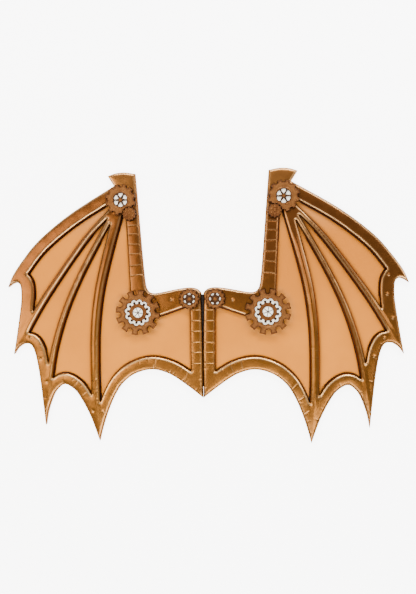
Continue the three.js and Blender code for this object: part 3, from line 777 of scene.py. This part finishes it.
def frame_height(plan, side):
    """Heights of the padded frame's top, and the attributes that its material reads."""
    points, d = plan.points, plan.distance
    rounding = np.sqrt(1 - (1 - np.clip(d / EDGE_ROUND, 0, 1)) ** 2)
    crown = np.sqrt(1 - (1 - np.clip(d / CROWN, 0, 1)) ** 2)
    low = FRAME_BASE + WALL_HEIGHT
    z = low + (FRAME_TOP - low) * ((1 - CROWN_SHARE) * rounding + CROWN_SHARE * crown)
    seed = FRAME_SEEDS[side]
    pads = np.zeros(len(points))
    for middle, radius in GEARS.values():
        away = np.linalg.norm(points - middle, axis=1)
        pads = np.maximum(pads, 1 - smoothstep(away, radius - PAD_MARGIN, radius + 2 * MM))
    free = 1 - pads
    ridge_line = np.zeros(len(points))
    for signed, share, half in rib_places(points):
        span = smoothstep(share, 0.12, 0.22) * (1 - smoothstep(share, 0.8, 0.95))
        tent = np.clip(1 - np.abs(signed) / half, 0, 1)
        z += RIDGE_HEIGHTS[side] * tent * span * free
        # Painted shade along the ribs' ridges
        ridge_line = np.maximum(ridge_line, bell(signed, 0.9 * MM) * span * free)
    crease = np.zeros(len(points))
    lip = np.zeros(len(points))
    spot = np.zeros(len(points))
    for row in CREASES[side]:
        along, across = crease_axes(points, row)
        reach, depth = row[3:]
        inside = (1 - smoothstep(np.abs(along), (reach - 3) * MM, reach * MM)) * free
        groove = bell(across, CREASE_HALF_WIDTH) * inside
        z -= CREASE_SHARE * depth * MM * groove
        # Painted shade in the crease's groove
        crease = np.maximum(crease, groove * CREASE_DARKNESS)
        lip = np.maximum(lip, bell(across - 1.3 * MM, 0.7 * MM) * inside)
    hems = 0.1 + 0.9 * (1 - smoothstep(points[:, 1], -90 * MM, -30 * MM))
    groove, fine_lip = wrinkles(plan, round(seed))
    z -= groove * hems * free
    # Painted shade in the wrinkles
    crease = np.maximum(crease, 0.5 * groove / WRINKLE_DEPTHS[1] * hems * free)
    lip = np.maximum(lip, 0.8 * fine_lip * hems * free)
    for x, y in DIMPLES[side]:
        away = np.linalg.norm(points - np.array([x, y]) * MM, axis=1)
        z -= DIMPLE_DEPTH * bell(away, DIMPLE_RADIUS) * free
        below = points - np.array([x, y - 1.5]) * MM  # the lit lower side of the dimple
        spot = np.maximum(spot, bell(np.linalg.norm(below, axis=1), 1.6 * MM))
    soft = smoothstep(d, 1 * MM, 5 * MM) * free
    z += 0.5 * MM * undulation(points, 26 * MM, seed) * soft
    z += 0.08 * MM * undulation(points, 9 * MM, seed + 5) * soft
    z = np.minimum(z, np.where(pads > 0, FRAME_TOP + 4 * MM * (1 - pads), np.inf))
    facing = plan.facing[plan.nearest]
    inner = smoothstep(-facing[:, 0], 0.3, 0.8)  # 1 on edges that face the wings' middle
    upper = smoothstep(facing[:, 1], 0, 0.6)
    lower = smoothstep(-facing[:, 1], 0.2, 0.6) * smoothstep(points[:, 1], -70 * MM, -40 * MM)
    hem = 1 - smoothstep(points[:, 1], -100 * MM, 0)
    # A pale line on the rounding, worn vinyl and painted highlight, strongest on edges that face
    # up the wing at the hems
    wear_and_highlight = bell(d - 2.6 * MM, 1 * MM) * 0.12 * (1 - inner)
    wear_and_highlight += bell(d - 3.2 * MM, 1.1 * MM) * upper * (0.35 + 0.6 * hem)
    wear_and_highlight += bell(d - 3.6 * MM, 1.4 * MM) * 0.15 * inner
    wear_and_highlight += bell(d - 2.6 * MM, 1 * MM) * 0.5 * lower
    # Dark along the edges, partly dark paint, with painted shade on the edges that face the wings'
    # middle and at the neck
    dark_edge = bell(d, MM) * (0.5 + 0.5 * inner)
    at_neck = smoothstep(points[:, 1], 20 * MM, 50 * MM) * (points[:, 0] < 125 * MM)
    dark_edge = np.maximum(dark_edge, 0.9 * inner * at_neck * bell(d, 2.2 * MM))
    # Painted shade on the right wing's outer side
    outer_side_shade = smoothstep(points[:, 0], 120 * MM, 300 * MM) * OUTER_SIDE_SHADE[side]
    # Painted contact shadow round the gears
    contact = bell(distances(points, GEAR_EDGES), 1.3 * MM) * 0.9
    return z, {
        "wear_and_highlight": np.maximum.reduce([np.minimum(wear_and_highlight, 1) * free, lip * 0.2, 0.4 * spot * free]),
        "crease": np.maximum.reduce([crease, dark_edge, 0.3 * ridge_line, contact]),
        "outer_side_shade": outer_side_shade,
    }


def frame_loops():
    """The frame's loops, with the edge at the seam drawn back towards the top."""
    loops = face_loops("frame_right")
    outer = loops[0]
    foot = np.argmin(outer[:, 0])
    before, after = outer[foot - 1], outer[(foot + 1) % len(outer)]
    top = before if before[1] > after[1] else after
    ys = np.linspace(top[1], outer[foot][1], 24)[1:-1]
    xs = np.interp(ys, [SEAM_FOOT, SEAM_TOP], SEAM_HALF)
    outer[foot][0] = SEAM_HALF[0]
    rows = np.stack([xs, ys], 1)
    at = foot if top is before else foot + 1
    loops[0] = np.insert(outer, at, rows if top is before else rows[::-1], axis=0)
    return loops


STEP = 1.6 * MM
FRAME_INSETS = [0.25 * MM, 0.9 * MM, 1.8 * MM, 3 * MM, 4.4 * MM]
frame_plan = Plan(frame_loops(), STEP, FRAME_INSETS, STEP, crease_rows())
for side, sign in SIDES.items():
    z, marks = frame_height(frame_plan, side)
    piece = closed_piece(
        f"padded_frame_{side}", frame_plan, FRAME_BASE, [FRAME_BASE + 0.6 * WALL_HEIGHT], z,
        marks, sign,
    )
    dressed(piece, f"frame_{side}", MATERIALS["frame"])


# Membranes

MEMBRANE_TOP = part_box("membrane_right")[1].z
MEMBRANE_SWELL = 0.5 * MM
MEMBRANE_EDGE_DROP = 0.3 * MM
MEMBRANE_SEEDS = {"right": 21.3, "left": 33.9}
DEEPER = {"right": 0.85, "left": 0.4}  # how far the sheet's colour deepens up the wing
BESIDE_FRAME = (0.1 * MM, 1 * MM, 1.9 * MM, 3.2 * MM, 5.2 * MM)  # rows of mesh points


def beside_frame_marks(points, to_frame):
    """Painted shade beside the frame: a dark line, and a soft brown strip instead of it on the
    outer side of ribs and bands."""
    edge = frame_plan.fine[nearest(points, frame_plan.tree)]
    outward = (points[:, 0] - edge[:, 0]) / np.maximum(to_frame, 0.1 * MM)
    soft = 0.8 * smoothstep(outward, 0.6, 0.9) * (edge[:, 0] < 150 * MM)
    for signed, share, half in rib_places(points):
        outer = (signed > 0) & (signed < half + 9 * MM)
        soft = np.where(outer, np.maximum(soft, 1 - smoothstep(share, 0.86, 0.97)), soft)
    line = (1 - soft) * (1 - smoothstep(to_frame, 1.3 * MM, 2.5 * MM))
    return line, (0.25 + 0.75 * soft) * bell(to_frame, 3.4 * MM)


def membrane_height(plan, side):
    """Heights of a membrane's top, and the attributes that its material reads."""
    seed = MEMBRANE_SEEDS[side]
    points = plan.points
    to_frame = distances(points, frame_plan.tree)
    in_window = ~is_inside(points, frame_plan.loops)
    lift = smoothstep(to_frame, 0, 40 * MM) * in_window
    z = np.full(len(points), MEMBRANE_TOP)
    z += lift * MEMBRANE_SWELL * (1.6 + undulation(points, 60 * MM, seed))
    z += lift * 0.2 * MM * undulation(points, 18 * MM, seed + 2)
    z[: plan.edge_count] = MEMBRANE_TOP - MEMBRANE_EDGE_DROP
    line, strip = beside_frame_marks(points, to_frame)
    # A painted tint of the shade round the gears and near the top of the wing
    gear_shade_tint = np.maximum(
        0.5 * bell(distances(points, GEAR_EDGES), 8 * MM),
        0.5 * smoothstep(points[:, 1], 130 * MM, 190 * MM),
    )
    return z, {
        # The painted shade line beside the frame
        "crease": line * in_window,
        "shade": strip * in_window,
        "gear_shade_tint": gear_shade_tint,
        "deeper": np.full(len(points), DEEPER[side]),
    }


beside_frame = np.concatenate([
    loop - out * inward_normals(loop)
    for loop in frame_plan.loops[1:] for out in BESIDE_FRAME
])
membrane_plan = Plan(
    face_loops("membrane_right"), 3.5 * MM, [0.6 * MM, 2 * MM], 3.6 * MM, beside_frame
)
MEMBRANE_FLAT = tuple(np.ptp(np.concatenate(membrane_plan.loops), axis=0))
for side, sign in SIDES.items():
    z, marks = membrane_height(membrane_plan, side)
    piece = closed_piece(
        f"membrane_sheet_{side}", membrane_plan, 0, [1.5 * MM], z, marks, sign, under=0,
    )
    dressed(piece, f"membrane_{side}", MATERIALS["membrane"])


# Backing strip behind the seam

STRIP_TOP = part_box("backing_strip")[1].z
strip_plan = Plan(face_loops("backing_strip"), 2.5 * MM, [0.3 * MM, 0.9 * MM], 2.5 * MM)
z = STRIP_TOP - 0.5 * MM * (1 - smoothstep(strip_plan.distance, 0, 0.9 * MM))
z -= 0.12 * MM * (1 + undulation(strip_plan.points, 20 * MM, 5.5))
piece = closed_piece(
    "woven_strip", strip_plan, 0, [0.4 * STRIP_TOP, 0.7 * STRIP_TOP], z, {}, under=0
)
dressed(piece, "backing_strip", MATERIALS["strip"])


# Gears, cogs, wheels and stars

GEAR_STEP = 1 * MM
GEAR_INSETS = [0.12 * MM, 0.35 * MM, 0.7 * MM, 1.15 * MM, 1.7 * MM, 2.3 * MM]
GEAR_SPACING = 1.3 * MM
CORNER_EASE = 0.9 * MM
WINDOW_EASE = 0.3 * MM
ENGRAVING = 2.3 * MM  # from the edge of a gear to the line that runs along it
POCKET_MARGIN = 0.03 * MM
BOSS_HEIGHT = 1.5 * MM
KNOB_PLACE = 0.885  # of the way from the wheel's middle to a tip
KNOB_RADIUS = 2.7 * MM
KNOB_HEIGHT = 1.2 * MM
WHEEL_GROOVE = 13.6 * MM  # its radius on the wheel
WHEEL_STEP = 0.7 * MM
WHEEL_EASE = 0.4 * MM
STAR_STEP = 0.5 * MM
STAR_INSETS = [0.1 * MM, 0.25 * MM, 0.45 * MM]
STAR_SPACING = 0.6 * MM
STAR_BOSS = (2.1 * MM, 0.6 * MM)  # radius and height
DOME_RINGS = [(0, 1), (0.3, 6), (0.6, 10), (0.85, 14), (0.98, 18), (1.12, 18)]


def rounded_edge(distance, top, radius):
    """Heights of a plate whose upper edge is rounded."""
    return top - radius + radius * np.sqrt(1 - (1 - np.clip(distance / radius, 0, 1)) ** 2)


def dome_points(middles, radius):
    return np.concatenate([
        circle(middle, radius * share, count) for middle in middles for share, count in DOME_RINGS
    ])


def dome(away, radius, height):
    return height * np.sqrt(np.clip(1 - (away / radius) ** 2, 0, 1))


def domes(points, middles, radius, height):
    """How much domes of one height add to a plate, and how near each point is to their feet."""
    away = np.min([np.linalg.norm(points - middle, axis=1) for middle in middles], axis=0)
    return dome(away, radius, height), bell(away / radius - 1.12, 0.16)


def box_middle(node):
    low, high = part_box(node)
    return np.array(((low + high) / 2)[:2])


def toothed_gear(side, name):
    """A toothed gear over its inlay: rounded edges, an engraved line and a raised ring."""
    node = f"{name}_{side}"
    low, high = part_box(node)
    inlay = name.replace("gear", "inlay") + f"_{side}"
    middle = box_middle(inlay)
    inlay_low, inlay_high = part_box(inlay)
    pocket = (inlay_high.x - inlay_low.x) / 2 + 0.3 * MM  # the radius of the hollow for the inlay
    pocket_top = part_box(f"star_{side}")[0].z
    count = round(2 * math.pi * pocket / MM)
    rings = [circle(middle, pocket + m, count) for m in (-POCKET_MARGIN, POCKET_MARGIN)]
    outline, *windows = face_loops(node, True)
    loops = [eased(outline, CORNER_EASE), *(eased(loop, WINDOW_EASE) for loop in windows)]
    plan = Plan(loops, GEAR_STEP, GEAR_INSETS, GEAR_SPACING, np.concatenate(rings))
    points, d = plan.points, plan.distance
    away = np.linalg.norm(points - middle, axis=1)
    line = bell(d - ENGRAVING, 0.5 * MM) * (away > pocket)
    ring = smoothstep(away, pocket - 1.5 * MM, pocket)
    ring -= smoothstep(away, pocket + MM, pocket + 2 * MM)
    hollow = bell(away - pocket - 2.4 * MM, 0.7 * MM)
    z = rounded_edge(d, high.z - 0.4 * MM, MM) - 0.35 * MM * line + 0.4 * MM * ring
    z -= 0.3 * MM * hollow * (1 - line)
    z += 0.1 * MM * undulation(points, 4 * MM, low.x * 100)
    spokes = smoothstep(-away, -pocket, -pocket + 2 * MM) * (len(windows) > 1)
    # Pale tops with wear and painted highlight; painted shade in the engraving, the hollow and at
    # the edges, which are also burnt; the spokes near the middle darker, partly painted shade,
    # partly burnt
    marks = {
        "wear_and_highlight": smoothstep(d, 1.4 * MM, 3 * MM) * (0.4 + 0.4 * (away > pocket)),
        "crease": np.maximum.reduce([0.3 * line, 0.25 * hollow, 0.85 * bell(d, 1.1 * MM)]),
        "dark": 0.8 * spokes * smoothstep(away, 2.6 * MM, 3.6 * MM),
    }
    bottom = np.where(away < pocket, pocket_top, low.z)
    piece = closed_piece(
        f"toothed_{node}", plan, low.z, [pocket_top + 1.5 * MM], z, marks, bottom=bottom
    )
    dressed(piece, node, MATERIALS["gears"])


def bossed_cog(side):
    """The small cog with domed bosses."""
    node = f"small_cog_{side}"
    tops = face_loops(node, True)
    bosses = [loop.mean(0) for loop in tops]
    boss = np.ptp(tops[0][:, 0]) / 2
    low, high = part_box(node)
    loops = [eased(loop, CORNER_EASE) for loop in face_loops(node)]
    plan = Plan(loops, GEAR_STEP, GEAR_INSETS[:4], GEAR_SPACING, dome_points(bosses, boss))
    rise, foot = domes(plan.points, bosses, boss, BOSS_HEIGHT)
    z = rounded_edge(plan.distance, high.z - 1.4 * MM, MM) + rise - 0.3 * MM * foot
    # Painted highlight on the bosses' tops, painted shade at their feet and along the edge
    marks = {
        "wear_and_highlight": 0.5 * smoothstep(rise, 0.7 * MM, 1.3 * MM),
        "crease": np.maximum(0.35 * foot, 0.8 * bell(plan.distance, MM)),
    }
    piece = closed_piece(f"bossed_{node}", plan, low.z, [low.z + 3 * MM], z, marks)
    dressed(piece, node, MATERIALS["gears"])


def knobbed_wheel(side):
    """The wheel in the big gear, with knobs darkened by painted shade."""
    node = f"inner_wheel_{side}"
    low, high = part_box(node)
    middle = box_middle(f"big_inlay_{side}")
    outline = face_loops(node)[0]
    reach = np.linalg.norm(outline - middle, axis=1)
    tips = outline[reach > 0.995 * reach.max()]
    knobs = [middle + (tip - middle) * KNOB_PLACE for tip in tips]
    loops = [eased(loop, WHEEL_EASE) for loop in face_loops(node)]
    around = dome_points(knobs, KNOB_RADIUS)
    plan = Plan(loops, WHEEL_STEP, GEAR_INSETS[:4], GEAR_SPACING, around)
    rise, foot = domes(plan.points, knobs, KNOB_RADIUS, KNOB_HEIGHT)
    z = rounded_edge(plan.distance, high.z - 0.9 * MM, 0.7 * MM) + rise - 0.2 * MM * foot
    away = np.linalg.norm(plan.points - middle, axis=1)
    z -= 0.4 * MM * bell(away - WHEEL_GROOVE, 0.6 * MM)
    # Painted shade: dark knobs and rim, and dark in the groove and along the edge
    marks = {
        "dark": smoothstep(away, 17.4 * MM, 18.2 * MM),
        "crease": np.maximum(
            0.4 * bell(away - WHEEL_GROOVE, 0.7 * MM), 0.9 * bell(plan.distance, 0.9 * MM)
        ),
    }
    piece = closed_piece(f"knobbed_{node}", plan, low.z, [low.z + 1.2 * MM], z, marks)
    dressed(piece, node, MATERIALS["gears"])


def spoked_star(side):
    """The star in the wheel's middle."""
    node = f"star_{side}"
    low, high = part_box(node)
    middle = box_middle(f"big_inlay_{side}")
    loops = [eased(loop, WINDOW_EASE) for loop in face_loops(node)]
    plan = Plan(loops, STAR_STEP, STAR_INSETS, STAR_SPACING)
    away = np.linalg.norm(plan.points - middle, axis=1)
    z = rounded_edge(plan.distance, high.z, 0.5 * MM) + dome(away, *STAR_BOSS)
    marks = {"dark": smoothstep(-away, -2.4 * MM, -1.8 * MM)}
    piece = closed_piece(f"spoked_{node}", plan, low.z, [low.z + 0.4 * MM], z, marks)
    dressed(piece, node, MATERIALS["star"])


for side in SIDES:
    for name in ("upper_gear", "big_gear", "small_gear"):
        toothed_gear(side, name)
    bossed_cog(side)
    knobbed_wheel(side)
    spoked_star(side)
    for name in ("upper_inlay", "big_inlay", "small_inlay"):
        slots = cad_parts[f"{name}_{side}"].data.materials
        slots.clear()
        slots.append(MATERIALS["inlay"])


# Floor and light

FLOOR_HALF = 4
FLOOR_GLOW = 6
WORLD_COLOUR = (0.95, 0.96, 1.0, 1)
WORLD_STRENGTH = 0.35


def make_stage():
    mesh = bpy.data.meshes.new("floor")
    corners = [(-1, -1), (1, -1), (1, 1), (-1, 1)]
    mesh.from_pydata([(x * FLOOR_HALF, y * FLOOR_HALF, 0) for x, y in corners], [], [range(4)])
    floor = bpy.data.objects.new("floor", mesh)
    bpy.context.scene.collection.objects.link(floor)
    n = Nodes("floor")
    base = n.mix(n.noise(3), (0.95, 0.95, 0.95, 1), (0.93, 0.93, 0.93, 1))
    n.set(base_color=base, roughness=0.9)
    n.set(emission_color=(1, 1, 1, 1), emission_strength=FLOOR_GLOW)
    mesh.materials.append(n.material)


def make_light(name, place, size, power, tint=(1, 1, 1)):
    """A soft light aimed at the origin."""
    data = bpy.data.lights.new(name, "AREA")
    data.shape = "RECTANGLE"
    data.size, data.size_y = size
    data.energy = power
    data.color = tint
    light = bpy.data.objects.new(name, data)
    bpy.context.scene.collection.objects.link(light)
    turn = Vector(place).to_track_quat("Z", "Y").to_matrix().to_4x4()
    light.matrix_world = Matrix.Translation(place) @ turn


make_stage()
make_light("top_light", (0.2, 1.6, 1.4), (2.2, 0.5), 75)
make_light("left_sheen", (-1.5, 0.1, 1.8), (0.8, 1.8), 42, (1, 0.9, 0.74))
make_light("bottom_sheen", (0.3, -1.3, 2.0), (2.0, 0.8), 68)
make_light("right_light", (1.6, 0.5, 0.9), (0.4, 1.4), 16)

world = bpy.data.worlds.new("studio")
world.use_nodes = True
background = world.node_tree.nodes["Background"]
background.inputs["Color"].default_value = WORLD_COLOUR
background.inputs["Strength"].default_value = WORLD_STRENGTH
bpy.context.scene.world = world
